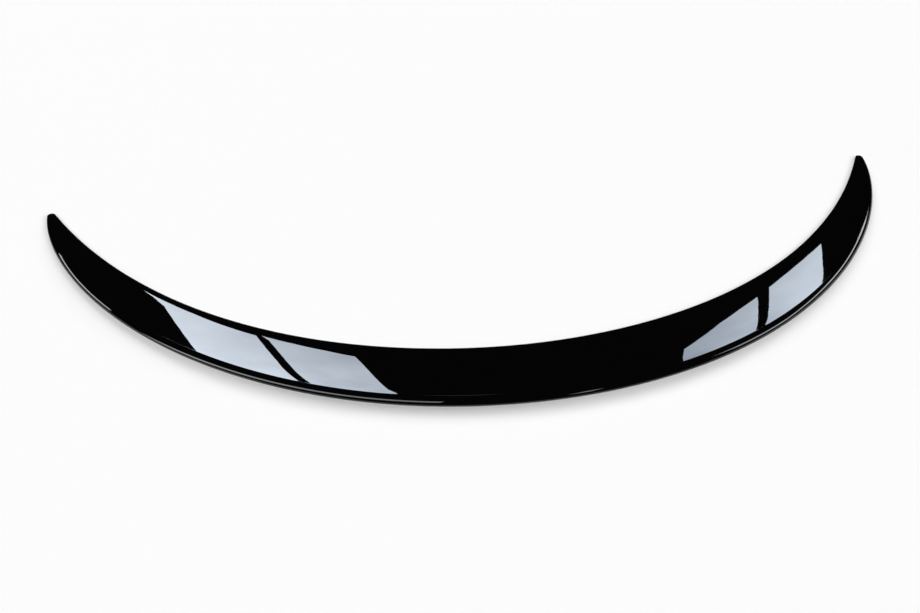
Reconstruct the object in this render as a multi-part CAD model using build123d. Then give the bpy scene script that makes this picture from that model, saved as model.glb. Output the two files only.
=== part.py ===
from build123d import *
import math
import os

# Plan view, in millimetres. Y is measured forward from the middle of the leading edge.
HALF_SPAN = 630.0  # centre line to the point where the two edges of a tip would meet
SWEEP = 323.0  # that point ahead of the middle of the leading edge
CHORD = 98.0  # leading edge to trailing edge on the centre line
LEAD_FLOW = 156.0  # handle that keeps the leading edge square to the centre line
LEAD_TIP_FLOW = 337.0  # handle that holds the leading edge to its angle at the tip
LEAD_TIP_ANGLE = 56.5  # degrees from the span to the leading edge at the tip
TRAIL_FLOW = 409.0  # handle that keeps the trailing edge square to the centre line
TRAIL_TIP_FLOW = 125.0  # handle that turns the trailing edge forward at the tip
TIP_RADIUS = 5.5
POLE = 520.0  # every section stands on a ray from the point this far ahead of the leading edge

# Section on the centre line. Towards the tips the ramp, rim and overhang shrink with the chord.
NOSE_HEIGHT = 3.0  # skin over the lid at the leading edge
TAIL_HEIGHT = 30.0  # rim over the lid
RISE_POWER = 1.5  # the rise shrinks as this power of the chord
RAMP_ANGLE = 8.0  # degrees, slope of the skin where it leaves the nose
RAMP_FLOW = 29.0  # handle that keeps the skin at that slope
CREST_ANGLE = 27.0  # degrees, slope of the skin where it comes up to the crest
CREST_FLOW = 25.0  # handle that keeps the skin at that slope
ROLL_START = 0.975  # share of the ramp at which it starts to turn over into the rim
ROLL = 2.0  # the turn ends this far behind the crest
RIM = 5.5  # crest to the round of the trailing edge
TRAIL_RADIUS = 6.5  # round of the trailing edge
TRAIL_LEAN = 25.0  # degrees that the skin still leans where that round is trimmed
WIDTH_HOLD = 3  # power that keeps the width of that round until close to the tips
DEPTH_HOLD = 6  # power that keeps its depth, which fades a little earlier
EDGE_RADIUS = 1.5  # small round along the whole upper edge
OVERHANG = 18.0  # trailing edge behind the support wall

# Moulded walls and bonding lands on the underside
SKIN = 3.0
LIP_HEIGHT = 5.0  # rear lip, from the rim down to its lower edge
FRONT_LAND = 22.0  # solid bonding land behind the leading edge
GROOVE_STEP = 2.0  # ledge beside the support wall, where the groove of the lip starts
SUPPORT_WALL = 8.0  # wall under the ramp, whose foot is the rear bonding land
LEAST_GAP = 4.0  # a hollow ends where it would get narrower than this
RIB = 2.5
RIB_PITCH = 80.0  # between ribs, along the middle of the hollow
RIB_RELIEF = 1.5  # ribs stop this far above the bonding plane

STATIONS = 21  # rays that the skin and the hollows are drawn on
RAMP_POINTS = 6  # steps of the ramp that the skin passes through on each ray
TURN_POINTS = 4  # steps of each round
LEAST_SHARE = 0.01  # the skin ends past the rounded tip, where the chord is this share of the middle's
MARGIN = 6.0  # skin drawn past both edges and then trimmed off
BELOW = 40.0  # cutters start this far under the bonding plane

TRAIL_WIDTH = TRAIL_RADIUS * math.cos(math.radians(TRAIL_LEAN))
TIP = Vector(HALF_SPAN, SWEEP)
TIP_TURN = math.atan2(TIP.X, POLE - TIP.Y)
LEAN = math.radians(LEAD_TIP_ANGLE)
LEADING = (
    Vector(0, 0),
    Vector(LEAD_FLOW, 0),
    TIP - Vector(math.cos(LEAN), math.sin(LEAN)) * LEAD_TIP_FLOW,
    TIP,
)
TRAILING = (
    Vector(0, -CHORD),
    Vector(TRAIL_FLOW, -CHORD),
    TIP - Vector(0, TRAIL_TIP_FLOW),
    TIP,
)


def along(handles, share):
    """Point of a curve with four handles, at this share of its run."""
    rest = 1 - share
    start, first, second, end = handles
    return start * rest**3 + first * (3 * rest**2 * share) + second * (3 * rest * share**2) + end * share**3


def halving(passes, low, high):
    """Last value between low and high that still passes a test, which fails from some value on."""
    for _ in range(40):
        middle = (low + high) / 2
        if passes(middle):
            low = middle
        else:
            high = middle
    return low


def turn_of(point):
    """Turn of a plan point about the pole, from the centre line."""
    return math.atan2(point.X, POLE - point.Y)


def reach(handles, turn):
    """Distance from the pole to a plan edge on the ray at this turn."""
    share = halving(lambda share: turn_of(along(handles, share)) < abs(turn), 0, 1)
    point = along(handles, share)
    return math.hypot(point.X, POLE - point.Y)


def lead(turn):
    return reach(LEADING, turn)


def trail(turn):
    return reach(TRAILING, turn)


def scale(turn):
    """Chord on this ray as a share of the chord on the centre line."""
    return (trail(turn) - lead(turn)) / CHORD


def top(turn):
    """Height of the rim on this ray."""
    return NOSE_HEIGHT + (TAIL_HEIGHT - NOSE_HEIGHT) * scale(turn) ** RISE_POWER


def land_rear(turn):
    return lead(turn) + FRONT_LAND


def wall_rear(turn):
    return trail(turn) - OVERHANG * scale(turn)


def wall_front(turn):
    return wall_rear(turn) - SUPPORT_WALL


def groove_front(turn):
    return wall_rear(turn) + GROOVE_STEP


def lip_front(turn):
    return trail(turn) - TRAIL_WIDTH


def behind_lip(turn):
    return trail(turn) + MARGIN / 2


def end_of_gap(front, rear, least):
    """Turn at which the gap between two plan lines has narrowed to its least width."""
    return halving(lambda turn: rear(turn) - front(turn) > least, 0, TIP_TURN)


def fan(end, count):
    """Evenly spaced turns from one side to the other."""
    return [end * (2 * i / (count - 1) - 1) for i in range(count)]


def ray_plane(turn):
    """Upright plane on a ray, with its x away from the pole and its y up."""
    outward = (math.sin(turn), -math.cos(turn), 0)
    return Plane((0, POLE, 0), x_dir=outward, z_dir=(-math.cos(turn), -math.sin(turn), 0))


def droop(turn):
    """Share of its depth that the round of the trailing edge has on this ray."""
    return 1 - (1 - scale(turn) ** 2) ** DEPTH_HOLD


def trail_points(turn):
    """Round of the trailing edge, from the rim to a little behind the edge, where it is trimmed off."""
    left = droop(turn)
    width = TRAIL_RADIUS * (1 - (1 - scale(turn)) ** WIDTH_HOLD)
    start = trail(turn) - width * math.cos(math.radians(TRAIL_LEAN))
    leans = [math.radians((90 - TRAIL_LEAN) * i / TURN_POINTS) for i in range(TURN_POINTS + 1)]
    return [Vector(start + width * math.sin(lean), top(turn) - left * width * (1 - math.cos(lean))) for lean in leans]


def roll_points(start, corner, end):
    """Steps of the turn from the ramp into the rim, which would meet in a corner."""
    shares = [i / TURN_POINTS for i in range(1, TURN_POINTS + 1)]
    return [start * (1 - t) ** 2 + corner * (2 * t * (1 - t)) + end * t**2 for t in shares]


def skin_line(turn):
    """Points of the skin on one ray, drawn a little past both edges, and its direction at both ends."""
    shrink = scale(turn)
    steepness = shrink ** (RISE_POWER - 1)
    start_run = Vector(1, math.tan(math.radians(RAMP_ANGLE)) * steepness)
    crest_run = Vector(1, math.tan(math.radians(CREST_ANGLE)) * steepness)
    margin = MARGIN * (1 + shrink) / 2
    rear = trail_points(turn)
    crest = rear[0] - Vector(RIM * shrink, 0)
    toe = Vector(lead(turn), NOSE_HEIGHT) - start_run * margin
    toe_handle = toe + start_run * (margin + RAMP_FLOW * shrink)
    ramp = (toe, toe_handle, crest - crest_run * (CREST_FLOW * shrink), crest)
    climb = [along(ramp, ROLL_START * i / RAMP_POINTS) for i in range(RAMP_POINTS + 1)]
    roll = roll_points(climb[-1], crest, crest + Vector(ROLL * shrink, 0))
    end_run = Vector(1, -droop(turn) / math.tan(math.radians(TRAIL_LEAN)))
    behind = rear[-1] + end_run * (margin / 2)
    points = [*climb, *roll, (roll[-1] + rear[0]) / 2, *rear, behind]
    return points, [start_run, end_run]


def shares_of_run(points):
    """How far along the line through these points each of them is, from 0 to 1."""
    run = [0.0]
    for start, end in zip(points, points[1:]):
        run.append(run[-1] + (end - start).length)
    return [length / run[-1] for length in run]


def skin_section(turn):
    """Everything under the skin on one ray."""
    points, ends = skin_line(turn)
    skin = Edge.make_spline(points, tangents=ends, parameters=SKIN_SHARES)
    front, rear = points[0], points[-1]
    rest = Polyline(rear, (rear.X, -BELOW), (front.X, -BELOW), front)
    return ray_plane(turn) * make_face([skin, *rest.edges()])


def lip_section(turn):
    """Everything under the level of the lip's lower edge on one ray."""
    front = wall_rear(turn) - MARGIN
    rear = trail(turn) + MARGIN
    level = top(turn) - LIP_HEIGHT
    corners = [(front, -BELOW), (rear, -BELOW), (rear, level), (front, level)]
    return ray_plane(turn) * make_face(Polyline(*corners, close=True))


def plan_outline():
    """Crescent seen from above, with sharp tips."""
    left = [[Vector(-point.X, point.Y) for point in edge] for edge in (TRAILING, LEADING)]
    return make_face([Bezier(*edge).edge() for edge in (LEADING, TRAILING, *left)])


def strip(front, rear, end):
    """Upright prism between two plan lines, each a distance from the pole by turn."""
    path = fan(end, STATIONS)
    sides = []
    for line in (front, rear):
        sides.append([Vector(line(turn) * math.sin(turn), POLE - line(turn) * math.cos(turn)) for turn in path])
    fore, aft = sides
    ends = [Line(fore[-1], aft[-1]), Line(aft[0], fore[0])]
    face = make_face([line.edge() for line in (Spline(fore), Spline(aft), *ends)])
    return Pos(0, 0, -BELOW) * extrude(face, BELOW + TAIL_HEIGHT)


def ribs(end):
    """Upright plates across the hollow, on rays that spread from the centre line."""
    pitch = RIB_PITCH / ((land_rear(0) + wall_front(0)) / 2)
    side_ribs = int((end - pitch / 2) / pitch)
    plates = []
    for i in range(-side_ribs, side_ribs + 1):
        turn = i * pitch
        plate = Box(trail(turn) - lead(turn), TAIL_HEIGHT, RIB, align=(Align.MIN, Align.MIN, Align.CENTER))
        plates.append(ray_plane(turn) * Pos(lead(turn), RIB_RELIEF, 0) * plate)
    print(len(plates), "ribs")
    return plates


# Solid crescent under the skin, with its tips and its whole upper edge rounded
SKIN_SHARES = shares_of_run(skin_line(0)[0])  # the same for every section, so that their points line up
skin_end = halving(lambda turn: scale(turn) > LEAST_SHARE, 0, TIP_TURN)
under_skin = loft([skin_section(turn) for turn in fan(skin_end, STATIONS)])
crescent = extrude(plan_outline(), TAIL_HEIGHT + MARGIN)
crescent = fillet(crescent.edges().filter_by(Axis.Z).group_by(Axis.Y)[-1], TIP_RADIUS)
crescent = crescent & under_skin
upper_skin = crescent.faces().sort_by(Axis.Z)[-1]
crescent = fillet(upper_skin.edges(), EDGE_RADIUS)
print("crescent", crescent.is_valid, round(crescent.volume))

# Hollow under the ramp, between the front land and the support wall, with ribs left standing in it
ceiling = Pos(0, 0, -SKIN) * under_skin
hollow_end = end_of_gap(land_rear, wall_front, LEAST_GAP)
hollow = strip(land_rear, wall_front, hollow_end) & ceiling
hollow = hollow - ribs(hollow_end)
print("hollow", hollow.is_valid, round(hollow.volume))

# Open space under the overhang, with the rear lip left hanging from the rim
lip_bottom = loft([lip_section(turn) for turn in fan(skin_end, STATIONS)])
overhang_end = end_of_gap(wall_rear, trail, SKIN)
space = strip(wall_rear, behind_lip, overhang_end) & lip_bottom
groove = strip(groove_front, lip_front, end_of_gap(groove_front, lip_front, LEAST_GAP)) & ceiling
print("overhang", space.is_valid, round(space.volume), groove.is_valid, round(groove.volume))

shell = crescent - hollow - (space + groove)
print("shell", shell.is_valid, round(shell.volume), len(shell.solids()), "solid")

# The origin is in the middle of the outline, on the bonding plane
middle = shell.bounding_box().center()
shell = Pos(-middle.X, -middle.Y, 0) * shell
print("size", shell.bounding_box().size)
print("front land on the centre line at y", round(-FRONT_LAND / 2 - middle.Y, 3))

os.makedirs("parts", exist_ok=True)
export_step(shell, "parts/spoiler_shell.step")
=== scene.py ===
# %% [markdown]
# # Boot-lip spoiler in piano black
#
# The object is a crescent that is bonded along the rear edge of a boot lid. Its skin rises from
# a thin nose to a crest, turns over into a narrow flat rim, and ends in a rear lip that hangs
# over nothing. Underneath it is a hollow moulding with ribs.
#
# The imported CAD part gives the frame: its box, its place and its body. The looks are built
# around it here, in metres.

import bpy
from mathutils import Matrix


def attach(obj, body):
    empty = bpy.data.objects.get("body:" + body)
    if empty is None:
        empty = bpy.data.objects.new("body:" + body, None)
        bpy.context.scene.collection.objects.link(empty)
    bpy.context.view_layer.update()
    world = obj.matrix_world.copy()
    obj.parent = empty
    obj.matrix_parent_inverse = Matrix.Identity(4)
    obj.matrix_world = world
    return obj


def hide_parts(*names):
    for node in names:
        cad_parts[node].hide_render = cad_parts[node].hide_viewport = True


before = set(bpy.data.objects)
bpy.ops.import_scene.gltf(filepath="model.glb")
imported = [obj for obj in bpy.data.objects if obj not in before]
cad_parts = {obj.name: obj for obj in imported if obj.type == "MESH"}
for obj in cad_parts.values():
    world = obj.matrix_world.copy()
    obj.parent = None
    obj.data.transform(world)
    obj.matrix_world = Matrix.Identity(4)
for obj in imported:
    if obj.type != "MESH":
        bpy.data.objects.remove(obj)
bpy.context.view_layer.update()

# %% [markdown]
# ## The camera
#
# The picture looks down on the trailing edge from about half a right angle, a little from the
# left, and the horizon leans by three degrees. A short lens gives the strong perspective: the
# near edge is clearly larger than the far tips. The camera's axes are written straight into its
# matrix, so that the lean needs no second rotation.

# %% Camera
import math
import bpy
import bmesh
from mathutils import Matrix, Vector

MM = 0.001
scene = bpy.context.scene
scene.view_settings.view_transform = "Standard"

CAMERA_TURN = math.radians(-10.714)
CAMERA_HEIGHT = math.radians(50.758)
CAMERA_LEAN = math.radians(3.0)
CAMERA_DISTANCE = 0.90378
FOCAL_LENGTH = 27.0
SENSOR_WIDTH = 36.0
AIM = Vector((-0.06992, -0.03302, 0.0))

back = Vector((
    math.sin(CAMERA_TURN) * math.cos(CAMERA_HEIGHT),
    -math.cos(CAMERA_TURN) * math.cos(CAMERA_HEIGHT),
    math.sin(CAMERA_HEIGHT),
))
level = Vector((0, 0, 1)).cross(back).normalized()
upright = back.cross(level)
across = level * math.cos(CAMERA_LEAN) + upright * math.sin(CAMERA_LEAN)
upward = back.cross(across)
lens = bpy.data.cameras.new("camera")
lens.lens = FOCAL_LENGTH
lens.sensor_width = SENSOR_WIDTH
camera = bpy.data.objects.new("camera", lens)
scene.collection.objects.link(camera)
turned = Matrix((across, upward, back)).transposed().to_4x4()
camera.matrix_world = Matrix.Translation(AIM + back * CAMERA_DISTANCE) @ turned
scene.camera = camera
print("camera at", tuple(round(x, 3) for x in camera.location))

# %% [markdown]
# ## The outline in plan
#
# Both edges of the crescent are curves with four handles, the same ones that drive the part's
# source. They leave the centre line square to it and meet at the tip, which is rounded. Every
# section of the spoiler stands on a ray from one pole ahead of it, so an edge is asked for its
# distance from the pole at a given turn. These dimensions are in millimetres, with Y measured
# from the middle of the leading edge.

# %% Edges of the crescent
HALF_SPAN = 630.0
SWEEP = 323.0
CHORD = 98.0
LEAD_FLOW = 156.0
LEAD_TIP_FLOW = 337.0
LEAD_TIP_ANGLE = math.radians(56.5)
TRAIL_FLOW = 409.0
TRAIL_TIP_FLOW = 125.0
TIP_RADIUS = 5.5
POLE = Vector((0.0, 520.0))
HALVINGS = 40
TINY = 1e-4

TIP = Vector((HALF_SPAN, SWEEP))
LEADING = (
    Vector((0, 0)),
    Vector((LEAD_FLOW, 0)),
    TIP - LEAD_TIP_FLOW * Vector((math.cos(LEAD_TIP_ANGLE), math.sin(LEAD_TIP_ANGLE))),
    TIP,
)
TRAILING = (
    Vector((0, -CHORD)),
    Vector((TRAIL_FLOW, -CHORD)),
    TIP - Vector((0, TRAIL_TIP_FLOW)),
    TIP,
)


def along(handles, share):
    """The point of a curve at a share from 0 to 1."""
    rest = 1 - share
    start, first, second, end = handles
    first_weight = 3 * rest**2 * share
    second_weight = 3 * rest * share**2
    return start * rest**3 + first * first_weight + second * second_weight + end * share**3


def halving(passes, low, high):
    """The last value that passes, when all below it do and none above it does."""
    for _ in range(HALVINGS):
        middle = (low + high) / 2
        if passes(middle):
            low = middle
        else:
            high = middle
    return low


def turn_of(point):
    return math.atan2(point.x, POLE.y - point.y)


def ray(turn):
    return Vector((math.sin(turn), -math.cos(turn)))


def reach(handles, turn):
    share = halving(lambda share: turn_of(along(handles, share)) < turn, 0.0, 1.0)
    return (along(handles, share) - POLE).length


TIP_TURN = turn_of(TIP)
print("tip at a turn of", round(math.degrees(TIP_TURN), 2), "degrees")

# %% [markdown]
# The tip's round is a circle that touches both edges. Its middle is found by walking along the
# leading edge and standing one radius inside it, until the trailing edge is one radius away too.

# %% Round of the tip
TOUCH_RANGE = (0.85, 0.999)
SEARCH_START = 0.8
SEARCH_RANGE = 0.2
SEARCH_STEPS = 2000


def inside_leading(share):
    step = along(LEADING, share + TINY) - along(LEADING, share - TINY)
    return along(LEADING, share) + TIP_RADIUS * Vector((step.y, -step.x)).normalized()


def nearest(handles, point):
    shares = [SEARCH_START + SEARCH_RANGE * i / SEARCH_STEPS for i in range(SEARCH_STEPS + 1)]
    return min(shares, key=lambda share: (along(handles, share) - point).length)


def room(share):
    middle = inside_leading(share)
    return (along(TRAILING, nearest(TRAILING, middle)) - middle).length


LEAD_TOUCH = halving(lambda share: room(share) > TIP_RADIUS, *TOUCH_RANGE)
TIP_MIDDLE = inside_leading(LEAD_TOUCH)
LEAD_TOUCH_TURN = turn_of(along(LEADING, LEAD_TOUCH))
TRAIL_TOUCH_TURN = turn_of(along(TRAILING, nearest(TRAILING, TIP_MIDDLE)))
TIP_OUT = (TIP_MIDDLE - POLE).length
END_TURN = turn_of(TIP_MIDDLE) + math.asin(TIP_RADIUS / TIP_OUT)
tip_turns = [round(math.degrees(turn), 2) for turn in (LEAD_TOUCH_TURN, TRAIL_TOUCH_TURN, END_TURN)]
print("round starts at", *tip_turns[:2], "and ends at", tip_turns[2])


def tip_circle(turn, side):
    reached = TIP_OUT * math.cos(turn - turn_of(TIP_MIDDLE))
    return reached + side * math.sqrt(max(0.0, reached**2 - TIP_OUT**2 + TIP_RADIUS**2))


def front_edge(turn):
    return reach(LEADING, turn) if turn < LEAD_TOUCH_TURN else tip_circle(turn, -1)


def rear_edge(turn):
    return reach(TRAILING, turn) if turn < TRAIL_TOUCH_TURN else tip_circle(turn, 1)


# %% [markdown]
# ## The section
#
# On the centre line the skin leaves the nose at a shallow angle, steepens, and turns over at a
# crisp crest into a narrow rim, which ends in the round of the trailing edge. Towards the tips the
# rise shrinks faster than the chord, and the trailing round fades into a small round that the
# whole upper edge has.
#
# A few sizes differ from the part's source, for the sake of the gloss. The trailing round fades
# later, by about a millimetre at most, so that the fine line of light on it runs out to the tips.
# The roll at the crest and the round of the upper edge are smaller, because larger ones would
# mirror the panes as pale lines.

# %% Height of the skin
NOSE_HEIGHT = 3.0
TAIL_HEIGHT = 30.0
RISE_POWER = 1.5
RAMP_SLOPE = math.tan(math.radians(8.0))
RAMP_FLOW = 29.0
CREST_SLOPE = math.tan(math.radians(27.0))
CREST_FLOW = 25.0
ROLL_START = 0.9985
ROLL = 0.1
RIM = 5.5
TRAIL_RADIUS = 6.5
TRAIL_LEAN = math.radians(25.0)
WIDTH_HOLD = 3
DEPTH_HOLD = 14
MARGIN = 6.0


class Ray:
    """One ray from the pole: where the edges cross it and how high the skin is on it."""

    def __init__(self, turn):
        self.turn = turn
        self.lead = reach(LEADING, turn)
        self.trail = reach(TRAILING, turn)
        self.front = front_edge(turn)
        self.rear = rear_edge(turn)
        self.shrink = (self.trail - self.lead) / CHORD
        self.steepness = self.shrink ** (RISE_POWER - 1)
        self.top = NOSE_HEIGHT + (TAIL_HEIGHT - NOSE_HEIGHT) * self.shrink * self.steepness
        self.round_width = TRAIL_RADIUS * (1 - (1 - self.shrink) ** WIDTH_HOLD)
        self.round_depth = 1 - (1 - self.shrink**2) ** DEPTH_HOLD
        self.round_start = self.trail - self.round_width * math.cos(TRAIL_LEAN)
        self.draw_ramp(Vector((self.round_start - RIM * self.shrink, self.top)))

    def draw_ramp(self, crest):
        start_run = Vector((1, RAMP_SLOPE * self.steepness))
        crest_run = Vector((1, CREST_SLOPE * self.steepness))
        margin = MARGIN * (1 + self.shrink) / 2
        toe = Vector((self.lead, NOSE_HEIGHT)) - start_run * margin
        toe_handle = toe + start_run * (margin + RAMP_FLOW * self.shrink)
        self.ramp = (toe, toe_handle, crest - crest_run * (CREST_FLOW * self.shrink), crest)
        start = along(self.ramp, ROLL_START)
        end = crest + Vector((ROLL * self.shrink, 0))
        self.roll = (start, (start + 2 * crest) / 3, (end + 2 * crest) / 3, end)

    def skin(self, out):
        if out > self.round_start:
            share = min(1.0, (out - self.round_start) / self.round_width)
            return self.top - self.round_depth * self.round_width * (1 - math.sqrt(1 - share**2))
        if out >= self.roll[3].x:
            return self.top
        curve = self.ramp if out < self.roll[0].x else self.roll
        share = halving(lambda share: along(curve, share).x < out, 0.0, 1.0)
        return along(curve, share).y


middle_ray = Ray(0.0)
heights = [round(middle_ray.skin(POLE.y + step), 1) for step in (0, 30, 60, 86, 98)]
print("skin on the centre line", heights)

# %% [markdown]
# The walls underneath are the part's own: a solid bonding land behind the nose, a hollow with
# ribs, a support wall whose foot is the second land, and the lip that hangs behind it with a
# groove inside. One list of points goes once round the section. It always has the same length,
# also where a hollow has ended, so that any two sections can be joined point by point. On the
# skin the points crowd towards the crest, and one stands close behind the nose, so that the
# smooth shading of the ramp reaches both without bending there.

# %% One closed section
SKIN = 3.0
LIP_HEIGHT = 5.0
OVERHANG = 18.0
FRONT_LAND = 22.0
SUPPORT_WALL = 8.0
GROOVE_STEP = 2.0
LEAST_GAP = 4.0
RIB = 2.5
RIB_PITCH = 80.0
RIB_RELIEF = 1.5
SOFT_EDGE = 0.4
EASED_SHARE = 0.4
EDGE_RADIUS = 0.4
LEAST_LEAN = 0.5
WIDEST_ROUND = 0.3
NOSE_HOLD = 0.006
CREST_RANGE = (0.5, 0.97)
CREST_CROWDING = 1.5
LEAST_ROLL = 0.002
LEAST_RIM = 0.01
ROUND_STEPS = 7
RAMP_STEPS = 30
ROLL_STEPS = 4
RIM_STEPS = 4
TRAIL_STEPS = 12
CEILING_STEPS = 8
FLAT_SHARES = (0.53, 0.62, 0.82, 0.91)
LIP_ENDS = ((LIP_HEIGHT - NOSE_HEIGHT) / (TAIL_HEIGHT - NOSE_HEIGHT)) ** (1 / RISE_POWER)
LIP_EASE = 0.2
TRAIL_WIDTH = TRAIL_RADIUS * math.cos(TRAIL_LEAN)
TRAIL_DROP = 1 - math.sin(TRAIL_LEAN)


def lip_bottom_of(spot):
    """Lower edge of the rear lip, which rises a little where the round above it gets shallower."""
    lost = TRAIL_DROP * (TRAIL_RADIUS - spot.round_width * spot.round_depth)
    hold = min(1.0, max(0.0, (spot.shrink - LIP_ENDS) / LIP_EASE))
    return max(0.0, spot.top - LIP_HEIGHT + lost * hold)


def round_drop(radius, depth):
    """How far a round takes the skin down at a point this deep inside the outline."""
    inset = max(0.0, radius - max(0.0, depth))
    return radius - math.sqrt(radius**2 - inset**2)


def lean_of(handles, turn):
    """How squarely an edge crosses the ray: 1 at a right angle, less where it leans."""
    share = halving(lambda share: turn_of(along(handles, share)) < turn, 0.0, 1.0)
    step = along(handles, min(share + TINY, 1.0)) - along(handles, share - TINY)
    return abs(step.normalized().cross(ray(turn)))


def edge_drop(spot, out):
    """How far the small round of the upper edge takes the skin down at a point of the ray."""
    drops = []
    if spot.turn < LEAD_TOUCH_TURN:
        drops.append(round_drop(EDGE_RADIUS, (out - spot.front) * spot.front_lean))
    if spot.turn < TRAIL_TOUCH_TURN:
        drops.append(round_drop(spot.rear_radius, (spot.rear - out) * spot.rear_lean))
    if spot.turn > min(LEAD_TOUCH_TURN, TRAIL_TOUCH_TURN):
        point = POLE + out * ray(spot.turn)
        drops.append(round_drop(EDGE_RADIUS, TIP_RADIUS - (point - TIP_MIDDLE).length))
    return max(drops)


def eased(before, corner, after):
    """Three points instead of one sharp corner."""
    back_off = (before - corner).length
    go_on = (after - corner).length
    cut = min(SOFT_EDGE, EASED_SHARE * back_off, EASED_SHARE * go_on)
    first = corner + (before - corner).normalized() * cut if back_off else corner.copy()
    last = corner + (after - corner).normalized() * cut if go_on else corner.copy()
    return [first, (first + 2 * corner + last) / 4, last]


def upper_points(spot):
    """From the front edge over the nose, the ramp, the crest and the rim to the rear edge."""
    widest = WIDEST_ROUND * (spot.rear - spot.front)
    front_round = min(EDGE_RADIUS / max(spot.front_lean, LEAST_LEAN), widest)
    small_round = spot.rear_radius / max(spot.rear_lean, LEAST_LEAN)
    rear_round = min(max(spot.rear - spot.round_start, small_round), widest)
    ramp_start = spot.front + front_round
    rim_end = spot.rear - rear_round
    flat = rim_end - ramp_start
    earliest, latest = (ramp_start + share * flat for share in CREST_RANGE)
    roll_start = min(max(spot.roll[0].x, earliest), latest)
    roll_end = min(spot.roll[3].x, rim_end - LEAST_RIM * flat)
    roll_end = max(roll_start + LEAST_ROLL * flat, roll_end)
    hold = ramp_start + NOSE_HOLD * flat
    outs = []
    for i in range(ROUND_STEPS + 1):
        outs.append(spot.front + front_round * (1 - math.cos(math.pi / 2 * i / ROUND_STEPS)))
    for i in range(RAMP_STEPS + 1):
        outs.append(roll_start - (roll_start - hold) * (1 - i / RAMP_STEPS) ** CREST_CROWDING)
    for start, end, steps in ((roll_start, roll_end, ROLL_STEPS), (roll_end, rim_end, RIM_STEPS)):
        outs += [start + (end - start) * i / steps for i in range(1, steps + 1)]
    arc = math.pi / 2 - TRAIL_LEAN * spot.round_depth
    for i in range(1, TRAIL_STEPS + 1):
        outs.append(rim_end + rear_round * math.sin(arc * i / TRAIL_STEPS) / math.sin(arc))
    return [Vector((out, spot.skin(out) - edge_drop(spot, out))) for out in outs]


def under_points(spot, hollow, groove, foot, last):
    """From the rear edge under the lip, the support wall and the hollow to the front edge."""
    if spot.shrink > LIP_ENDS:
        wall_rear = spot.trail - OVERHANG * spot.shrink
        lip_front = spot.trail - min(TRAIL_WIDTH, OVERHANG * spot.shrink / 2)
        if hollow == "shut":
            foot_width = wall_rear - spot.lead
            full_width = FRONT_LAND + LEAST_GAP + SUPPORT_WALL
            land_rear = spot.lead + foot_width * FRONT_LAND / full_width
            wall_front = land_rear + foot_width * LEAST_GAP / full_width
        else:
            land_rear = spot.lead + FRONT_LAND
            wall_front = wall_rear - SUPPORT_WALL
    else:
        width = spot.rear - spot.front
        outs = (spot.front + share * width for share in FLAT_SHARES)
        land_rear, wall_front, wall_rear, lip_front = outs
    lip_bottom = lip_bottom_of(spot)

    def groove_ceiling(out):
        return max(lip_bottom, spot.skin(out) - SKIN) if groove else lip_bottom

    def hollow_ceiling(out):
        if hollow == "shut":
            return 0.0
        return RIB_RELIEF if hollow == "rib" else spot.skin(out) - SKIN

    def ceiling(height, start, end):
        steps = [start + (end - start) * i / CEILING_STEPS for i in range(CEILING_STEPS + 1)]
        return [Vector((out, max(0.0, height(out)))) for out in steps]

    under_lip = ceiling(groove_ceiling, lip_front, wall_rear)
    under_ramp = ceiling(hollow_ceiling, wall_front, land_rear)
    lip = [Vector((spot.rear, lip_bottom)), Vector((lip_front, lip_bottom))]
    feet = [Vector((out, 0.0)) for out in (wall_rear, wall_front, land_rear, spot.front)]
    points = eased(last, lip[0], lip[1]) + eased(lip[0], lip[1], under_lip[0])
    points += under_lip
    points += eased(under_lip[-1], feet[0], feet[1]) + eased(feet[0], feet[1], under_ramp[0])
    points += under_ramp
    points += eased(under_ramp[-1], feet[2], feet[3]) + eased(feet[2], feet[3], foot)
    return points


def section(turn, hollow, groove):
    """All points once round, in the plane of the ray: distance from the pole, and height."""
    spot = Ray(turn)
    spot.front_lean = lean_of(LEADING, turn)
    spot.rear_lean = lean_of(TRAILING, turn)
    spot.rear_radius = EDGE_RADIUS * (1 - spot.round_depth)
    upper = upper_points(spot)
    return upper + under_points(spot, hollow, groove, upper[0], upper[-1])


UPPER_COUNT = (ROUND_STEPS + 1) + (RAMP_STEPS + 1) + ROLL_STEPS + RIM_STEPS + TRAIL_STEPS
print("points in a section", len(section(0.0, "rib", True)), "of which on the skin", UPPER_COUNT)

# %% [markdown]
# ## Where the sections stand
#
# Sections stand close together all along the half span, closer still round the tip. Where a rib
# starts or a hollow ends, two sections stand in the same place, one with the hollow and one
# without, and the faces between them are the upright wall.

# %% Rings from the centre line to the tip
RING_STEP = math.radians(0.36)
CLOSEST_RING = 0.3 * RING_STEP
TIP_RINGS = 22


def hollow_width(spot):
    return spot.trail - OVERHANG * spot.shrink - SUPPORT_WALL - spot.lead - FRONT_LAND


def groove_width(spot):
    return OVERHANG * spot.shrink - GROOVE_STEP - TRAIL_WIDTH


def last_turn(width):
    """The turn up to which a gap under the skin is wide enough to mould."""
    return halving(lambda turn: width(Ray(turn)) > LEAST_GAP, 0.0, TIP_TURN - TINY)


HOLLOW_END = last_turn(hollow_width)
GROOVE_END = last_turn(groove_width)
HOLLOW_MIDDLE = POLE.y + (FRONT_LAND + CHORD - OVERHANG - SUPPORT_WALL) / 2
RIB_TURN = RIB_PITCH / HOLLOW_MIDDLE
RIB_HALF = RIB / 2 / HOLLOW_MIDDLE
SIDE_RIBS = int((HOLLOW_END - RIB_TURN / 2) / RIB_TURN)


def hollow_at(turn):
    if turn > HOLLOW_END:
        return "shut"
    nearest_rib = min(round(turn / RIB_TURN), SIDE_RIBS)
    return "rib" if abs(turn - nearest_rib * RIB_TURN) < RIB_HALF else "open"


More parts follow.
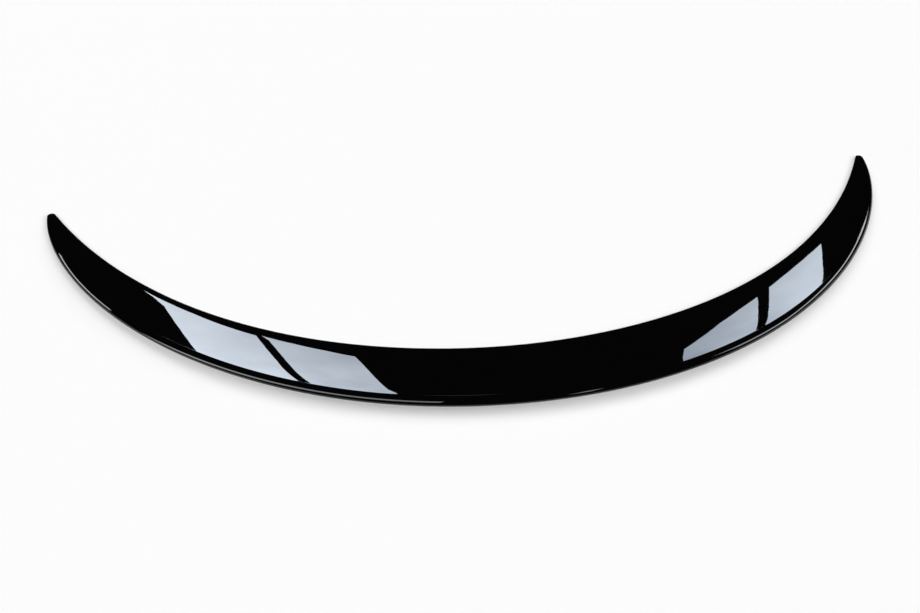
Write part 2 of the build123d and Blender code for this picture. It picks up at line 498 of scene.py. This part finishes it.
rings = [(0.0, "rib", True), (RIB_HALF, "rib", True), (RIB_HALF, "open", True)]
for i in range(1, SIDE_RIBS + 1):
    for side, hollow in ((-1, "open"), (-1, "rib"), (1, "rib"), (1, "open")):
        turn = i * RIB_TURN + side * RIB_HALF
        rings.append((turn, hollow, turn < GROOVE_END))
rings += [(GROOVE_END, hollow_at(GROOVE_END), groove) for groove in (True, False)]
rings += [(HOLLOW_END, hollow, False) for hollow in ("open", "shut")]
ROUND_START = min(LEAD_TOUCH_TURN, TRAIL_TOUCH_TURN)
PLAIN_RINGS = round(ROUND_START / RING_STEP)
taken = [ring[0] for ring in rings]
for i in range(1, PLAIN_RINGS + 1):
    turn = i * ROUND_START / PLAIN_RINGS
    if hollow_at(turn) != "rib" and min(abs(turn - other) for other in taken) > CLOSEST_RING:
        rings.append((turn, hollow_at(turn), turn < GROOVE_END))
for i in range(1, TIP_RINGS + 1):
    share = math.sin(math.pi / 2 * i / TIP_RINGS)
    rings.append((ROUND_START + (END_TURN - ROUND_START) * share, "shut", False))
rings.sort(key=lambda ring: ring[0])
ends = [round(math.degrees(turn), 1) for turn in (HOLLOW_END, GROOVE_END)]
print(len(rings), "rings,", 2 * SIDE_RIBS + 1, "ribs, hollow and groove end at", ends, "degrees")

# %% [markdown]
# ## The shell
#
# The centre section is spun about the pole, which gives a plain ring with the right faces. Then
# every ring is drawn onto its own ray and chord. The other half is a mirror image. Merging
# doubles closes the tip and the walls, and the faces are turned outwards after that.

# %% Spin, draw to the chord, mirror
UNDER = 1
MERGE = 0.002
SLIVER = 0.001


def ring_positions():
    placed = []
    for turn, hollow, groove in rings:
        spots = []
        for point in section(turn, hollow, groove):
            plan = POLE + point.x * ray(turn)
            spots.append(Vector((plan.x, plan.y, point.y)))
        placed.append(spots)
    return placed


shell_mesh = bmesh.new()
station = shell_mesh.verts.layers.int.new("station")
first_loop = []
for i, point in enumerate(section(0.0, "rib", True)):
    vert = shell_mesh.verts.new((0.0, POLE.y - point.x, point.y))
    vert[station] = i
    first_loop.append(vert)
edges = [shell_mesh.edges.new((first_loop[i - 1], first_loop[i])) for i in range(len(first_loop))]
bmesh.ops.spin(shell_mesh, geom=first_loop + edges, cent=(0, POLE.y, 0), axis=(0, 0, 1),
               dvec=(0, 0, 0), angle=END_TURN, steps=len(rings) - 1,
               use_merge=False, use_normal_flip=False, use_duplicate=False)
positions = ring_positions()
step = END_TURN / (len(rings) - 1)
for vert in shell_mesh.verts:
    ring = round(math.atan2(vert.co.x, POLE.y - vert.co.y) / step)
    vert.co = positions[ring][vert[station]]
print("half shell", len(shell_mesh.verts), "points,", len(shell_mesh.faces), "faces")

for face in shell_mesh.faces:
    inner = [vert[station] for vert in face.verts]
    front_foot = max(inner) == len(first_loop) - 1 and min(inner) > 0
    face.material_index = UNDER if min(inner) > UPPER_COUNT + 1 or front_foot else 0
    face.smooth = True
bmesh.ops.remove_doubles(shell_mesh, verts=shell_mesh.verts, dist=MERGE)
bmesh.ops.dissolve_degenerate(shell_mesh, edges=shell_mesh.edges, dist=SLIVER)
bmesh.ops.mirror(shell_mesh, geom=shell_mesh.verts[:] + shell_mesh.edges[:] + shell_mesh.faces[:],
                 matrix=Matrix.Identity(4), merge_dist=MERGE, axis="X")
bmesh.ops.remove_doubles(shell_mesh, verts=shell_mesh.verts, dist=MERGE)

# %% [markdown]
# The ring of the centre section would be left as a wall inside the part, so no face is made
# there: only its outline is shared by the two halves. Edges that turn by more than 34 degrees
# are marked sharp, and the rest is shaded smooth.

# %% Frame, normals and sharp edges
SHARP = math.radians(34)
ys = [vert.co.y for vert in shell_mesh.verts]
middle_y = (min(ys) + max(ys)) / 2
for vert in shell_mesh.verts:
    vert.co = Vector((vert.co.x, vert.co.y - middle_y, vert.co.z)) * MM
bmesh.ops.recalc_face_normals(shell_mesh, faces=shell_mesh.faces)
open_edges = [edge for edge in shell_mesh.edges if not edge.is_manifold]
for edge in shell_mesh.edges:
    edge.smooth = not (edge.is_manifold and edge.calc_face_angle() > SHARP)
print("open edges", len(open_edges), "volume", round(shell_mesh.calc_volume() * 1e9), "mm3")
mesh = bpy.data.meshes.new("spoiler_skin")
shell_mesh.to_mesh(mesh)
shell_mesh.free()
shell = bpy.data.objects.new("spoiler_skin", mesh)
scene.collection.objects.link(shell)
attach(shell, "root")
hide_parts("spoiler_shell")
print("shell", len(mesh.polygons), "faces, size", [round(x, 4) for x in shell.dimensions])

# %% [markdown]
# ## Writing shader maths as Python
#
# A small class wraps a socket, so that a finish reads as an expression. Any node that is not
# plain arithmetic comes from one method, which sets its options first and its sockets after.

# %% Shader helper
class Socket:
    def __init__(self, tree, source):
        self.tree = tree
        self.source = source

    def node(self, kind, settings=None, output=0, **inputs):
        made = self.tree.nodes.new(kind)
        for name, value in (settings or {}).items():
            setattr(made, name, value)
        for name, value in inputs.items():
            target = made.inputs[int(name[1:]) if name[0] == "_" else name.replace("_", " ")]
            if isinstance(value, Socket):
                self.tree.links.new(value.source, target)
            else:
                target.default_value = value
        return Socket(self.tree, made.outputs[output])

    def math(self, operation, first, second):
        return self.node("ShaderNodeMath", {"operation": operation}, _0=first, _1=second)

    def blend(self, share, first, second):
        colours = {"_6": first, "_7": second}
        return self.node("ShaderNodeMix", {"data_type": "RGBA"}, output=2, _0=share, **colours)

    def __add__(self, other):
        return self.math("ADD", self, other)

    def __radd__(self, other):
        return self.math("ADD", other, self)

    def __sub__(self, other):
        return self.math("SUBTRACT", self, other)

    def __rsub__(self, other):
        return self.math("SUBTRACT", other, self)

    def __mul__(self, other):
        return self.math("MULTIPLY", self, other)

    def __rmul__(self, other):
        return self.math("MULTIPLY", other, self)


def new_finish(name):
    material = bpy.data.materials.new(name)
    material.use_nodes = True
    tree = material.node_tree
    tree.nodes.clear()
    out = tree.nodes.new("ShaderNodeOutputMaterial")
    start = Socket(tree, None)
    return material, start, out


def surface(start, out, shader):
    start.tree.links.new(shader.source, out.inputs["Surface"])


# %% [markdown]
# ## Piano black
#
# The skin is a black plastic polished like a piano lid. Its colour is nearly nothing, so what
# shows is the mirror image of the panes and strips that are put up further down. A real moulding
# is never quite flat: broad, shallow waves bend the edges of the reflections, and a very fine
# ripple softens them.

# %% Gloss finish
PLASTIC_IOR = 1.5

piano_black, start, out = new_finish("piano_black")
place = start.node("ShaderNodeTexCoord", output="Object")
waves = start.node("ShaderNodeTexNoise", Vector=place, Scale=14.0, Detail=1.0, Roughness=0.4)
ripple = start.node("ShaderNodeTexNoise", Vector=place, Scale=420.0, Detail=2.0, Roughness=0.5)
haze = start.node("ShaderNodeTexNoise", Vector=place, Scale=35.0, Detail=3.0, Roughness=0.6)
tint = start.blend(haze, (0.0008, 0.0008, 0.0009, 1), (0.0015, 0.0015, 0.0017, 1))
broad = start.node("ShaderNodeBump", Strength=0.006, Distance=0.004, Height=waves)
fine = start.node("ShaderNodeBump", Strength=0.003, Distance=0.0002, Height=ripple, Normal=broad)
gloss = start.node("ShaderNodeBsdfPrincipled", Base_Color=tint, Roughness=0.008 + 0.012 * haze,
                   IOR=PLASTIC_IOR, Normal=fine)
surface(start, out, gloss)
mesh.materials.append(piano_black)
print("finish", piano_black.name, "with", len(piano_black.node_tree.nodes), "nodes")

# %% [markdown]
# ## Satin underside
#
# The side that faces the boot lid is left as it comes out of the tool: a fine grain and a dull
# sheen, a little greyer where the plastic flowed.

# %% Satin finish
tool_satin, start, out = new_finish("tool_satin")
place = start.node("ShaderNodeTexCoord", output="Object")
grain = start.node("ShaderNodeTexNoise", Vector=place, Scale=900.0, Detail=3.0, Roughness=0.6)
flow = start.node("ShaderNodeTexNoise", Vector=place, Scale=18.0, Detail=4.0, Roughness=0.6)
tint = start.blend(flow, (0.010, 0.010, 0.011, 1), (0.020, 0.020, 0.022, 1))
bump = start.node("ShaderNodeBump", Strength=0.25, Distance=0.0002, Height=grain)
satin = start.node("ShaderNodeBsdfPrincipled", Base_Color=tint, Roughness=0.42 + 0.12 * flow,
                   IOR=PLASTIC_IOR, Normal=bump)
surface(start, out, satin)
mesh.materials.append(tool_satin)
print("finish", tool_satin.name, "with", len(tool_satin.node_tree.nodes), "nodes")

# %% [markdown]
# ## Floor and backdrop
#
# The ground is plain and white. A part of its brightness is its own, for rays from the camera and
# from mirrors, so that it looks white at a plain lamp level. The rest is lamp light, which is what
# the shadow takes away. A low pale backdrop stands far round it for views from the side. It is
# lowest in front, where the crest of the skin would mirror it.

# %% White floor and low backdrop
FLOOR_SIZE = 15.0
FLOOR_LAMP_SHARE = 0.735
FLOOR_OWN = 0.25
BACKDROP_LAMP_SHARE = 0.05
BACKDROP_OWN = 0.93
ROUND_SIDES = 64
BACKDROP_RISE = math.radians(13)
BACKDROP_FRONT = math.radians(5)


def pale_ground(name, lamp_share, own_light):
    material, start, out = new_finish(name)
    seen = start.node("ShaderNodeLightPath", output="Is Camera Ray")
    mirrored = start.node("ShaderNodeLightPath", output="Is Glossy Ray")
    through = start.node("ShaderNodeLightPath", output="Is Transmission Ray")
    lit = start.node("ShaderNodeBsdfDiffuse", Color=(lamp_share, lamp_share, lamp_share, 1))
    own = start.node("ShaderNodeEmission", Color=(1, 1, 1, 1), Strength=own_light)
    both = start.node("ShaderNodeAddShader", _0=lit, _1=own)
    looked_at = seen + mirrored + through
    surface(start, out, start.node("ShaderNodeMixShader", _0=looked_at, _1=lit, _2=both))
    return material


def stage_piece(name, sheet, material):
    mesh = bpy.data.meshes.new(name)
    sheet.to_mesh(mesh)
    sheet.free()
    mesh.materials.append(material)
    made = bpy.data.objects.new(name, mesh)
    scene.collection.objects.link(made)
    return made


sheet = bmesh.new()
bmesh.ops.create_circle(sheet, cap_ends=True, segments=ROUND_SIDES, radius=FLOOR_SIZE)
stage_piece("floor", sheet, pale_ground("white_ground", FLOOR_LAMP_SHARE, FLOOR_OWN))

sheet = bmesh.new()
bmesh.ops.create_circle(sheet, cap_ends=False, segments=ROUND_SIDES, radius=FLOOR_SIZE)
raised = bmesh.ops.extrude_edge_only(sheet, edges=sheet.edges[:])["geom"]
for vert in raised:
    if isinstance(vert, bmesh.types.BMVert):
        forward = max(0.0, vert.co.y / FLOOR_SIZE)
        rise = BACKDROP_RISE + (BACKDROP_FRONT - BACKDROP_RISE) * forward**0.5
        vert.co.z = FLOOR_SIZE * math.tan(rise)
stage_piece("backdrop", sheet, pale_ground("white_backdrop", BACKDROP_LAMP_SHARE, BACKDROP_OWN))
backdrop_height = round(FLOOR_SIZE * math.tan(BACKDROP_RISE), 1)
print("floor", FLOOR_SIZE, "m radius, backdrop", backdrop_height, "m high")

# %% [markdown]
# ## Light
#
# Three broad lamps light everything at a plain level: one low on the right, one higher on the
# left and a weaker one overhead. Together they give the soft shadow that lies under the lip and
# round both ends. They are kept out of the mirror, because the gloss has lights of its own. The
# room is dim in the mirror too, and white only where the camera looks straight past the backdrop.
# Each lamp is given by its tilts to the right and behind, in degrees, and its power.

# %% Three broad lamps and a dim room
LAMP_ANGLE = math.radians(40)
LAMPS = (
    ("lamp_right", 62, 40, 2.74),
    ("lamp_left", -45, 10, 1.75),
    ("lamp_overhead", 15, -5, 0.75),
)
DIM = (0.006, 0.006, 0.007, 1)
WHITE = (BACKDROP_OWN, BACKDROP_OWN, BACKDROP_OWN, 1)

for name, aside, behind, power in LAMPS:
    lamp = bpy.data.lights.new(name, "SUN")
    lamp.energy = power
    lamp.angle = LAMP_ANGLE
    stand = bpy.data.objects.new(name, lamp)
    towards = Vector((math.tan(math.radians(aside)), -math.tan(math.radians(behind)), 1.0))
    stand.rotation_euler = towards.to_track_quat("Z", "Y").to_euler()
    stand.visible_glossy = False
    scene.collection.objects.link(stand)
    print(name, "falls on the floor with", round(power * towards.normalized().z, 2))

world = bpy.data.worlds.new("dim_room")
world.use_nodes = True
tree = world.node_tree
tree.nodes.clear()
out = tree.nodes.new("ShaderNodeOutputWorld")
start = Socket(tree, None)
dim = start.node("ShaderNodeBackground", Color=DIM)
white = start.node("ShaderNodeBackground", Color=WHITE)
seen = start.node("ShaderNodeLightPath", output="Is Camera Ray")
surface(start, out, start.node("ShaderNodeMixShader", _0=seen, _1=dim, _2=white))
scene.world = world
print("room", world.name)

# %% [markdown]
# ## Panes in the mirror
#
# Two pairs of panes stand in front of the spoiler, one pair to the left and one to the right.
# Only the gloss shows them. Their outlines were found by following each pane's corners from the
# picture over the skin to an upright wall, so on the wall they look bent, and in the skin they
# look like the panes of a window. Their light fades towards the middle of the wall and towards
# the floor, and it is a little cloudy.

# %% Panes to be mirrored
PANE_WALL = 500.0
PANE_FOOT = 60.0
PANE_DARK = (0.0, 0.02, 0.05, 1)
PANE_BRIGHT = (0.81, 0.885, 0.98, 1)
PANE_STRENGTH = 17.0
LEFT_SHARE, LEFT_GAIN = 0.36, 0.8
RIGHT_SHARE, RIGHT_GAIN = -0.125, 1.05
FADE_BELOW, FADE_GAIN = 0.2, 0.7
CLOUD = 0.24

pane_light, start, out = new_finish("pane_light")
place = start.node("ShaderNodeTexCoord", output="Object")
span = start.node("ShaderNodeSeparateXYZ", Vector=place, output="X")
height = start.node("ShaderNodeSeparateXYZ", Vector=place, output="Z")
cloud = start.node("ShaderNodeTexNoise", Vector=place, Scale=11.0, Detail=2.0, Roughness=0.5)
aside = start.math("MAXIMUM", LEFT_SHARE - LEFT_GAIN * span, RIGHT_SHARE + RIGHT_GAIN * span)
below = FADE_GAIN * start.math("MINIMUM", height - FADE_BELOW, 0.0)
glow = start.blend(aside + below + CLOUD * cloud - CLOUD / 2, PANE_DARK, PANE_BRIGHT)
surface(start, out, start.node("ShaderNodeEmission", Color=glow, Strength=PANE_STRENGTH))


def only_in_mirror(piece):
    piece.visible_camera = False
    piece.visible_diffuse = False
    piece.visible_shadow = False


def mirrored_sheet(name, corners, material):
    """A flat face with its corners in millimetres from the middle of the leading edge."""
    sheet = bmesh.new()
    sheet.faces.new([sheet.verts.new((x * MM, (y - middle_y) * MM, z * MM)) for x, y, z in corners])
    only_in_mirror(stage_piece(name, sheet, material))


def pane(name, *corners):
    mirrored_sheet(name, [(x, PANE_WALL, z) for x, z in corners], pane_light)


pane("pane_left_outer",
     (-552, 249), (-510, 263), (-469, 273), (-418, 279), (-365, 285), (-345, 257),
     (-325, 225), (-307, 193), (-291, 157), (-279, 131), (-247, PANE_FOOT), (-382, PANE_FOOT),
     (-421, 133), (-435, 159), (-458, 192), (-483, 220), (-509, 244), (-532, 250))
pane("pane_left_inner",
     (-357, 292), (-299, 295), (-246, 295), (-191, 290), (-174, 257), (-158, 219),
     (-142, 176), (-131, 142), (-121, 112), (-108, 88), (-100, PANE_FOOT), (-229, PANE_FOOT),
     (-271, 154), (-286, 188), (-303, 221), (-322, 253), (-341, 281))
pane("pane_right_inner",
     (386, 192), (422, 222), (469, 254), (514, 272), (551, 280), (543, 265), (529, 241),
     (514, 211), (502, 181), (462, 80), (366, 80), (374, 145), (380, 170))
pane("pane_right_outer",
     (578, 285), (607, 287), (633, 284), (657, 277), (677, 266), (661, 254), (646, 242), (631, 227),
     (618, 211), (606, 195), (535, 100), (481, 100), (515, 176), (528, 205), (544, 234), (560, 260))
print("four panes")

# %% [markdown]
# ## Strips over the trailing edge
#
# The fine line along the round of the trailing edge is the mirror image of four strips overhead:
# two on the left, a short one right of the middle, and one on the right that bends round to the
# tip. The line fades in the gaps between them, and it is brightest towards the two ends.

# %% Strips overhead
STRIP_HEIGHT = 1500.0
STRIP_REACH = 2.6
STRIP_DULL = (0.40, 0.42, 0.45, 1)
STRIP_BRIGHT = (0.92, 0.96, 1.0, 1)
STRIP_STRENGTH = 7.0

strip_light, start, out = new_finish("strip_light")
place = start.node("ShaderNodeTexCoord", output="Object")
span = start.node("ShaderNodeSeparateXYZ", Vector=place, output="X")
aside = start.node("ShaderNodeMath", {"operation": "ABSOLUTE"}, _0=span) * (1 / STRIP_REACH)
glow = start.blend(aside, STRIP_DULL, STRIP_BRIGHT)
surface(start, out, start.node("ShaderNodeEmission", Color=glow, Strength=STRIP_STRENGTH))


def strip(name, *corners):
    mirrored_sheet(name, [(x, y, STRIP_HEIGHT) for x, y in corners], strip_light)


strip("strip_left_end",
      (-2572, 1951), (-3269, 1489), (-3261, 1015), (-2872, 664),
      (-2006, 968), (-2119, 1243), (-2131, 1588), (-1709, 2141))
strip("strip_left",
      (-5200, -480), (-2869, -825), (-250, -820), (-130, -150), (-1837, -80), (-2736, -150))
strip("strip_middle", (560, -1020), (730, -1010), (700, -500), (590, -500))
strip("strip_right",
      (1320, 0), (1900, -420), (2400, -400), (2760, -250), (2620, 250), (2600, 600),
      (2720, 920), (2450, 1520), (2550, 2030), (2417, 1864), (2248, 1662), (2138, 1425),
      (2060, 1128), (2069, 695), (2095, 273), (1844, 150), (1534, 150))
print("four strips")
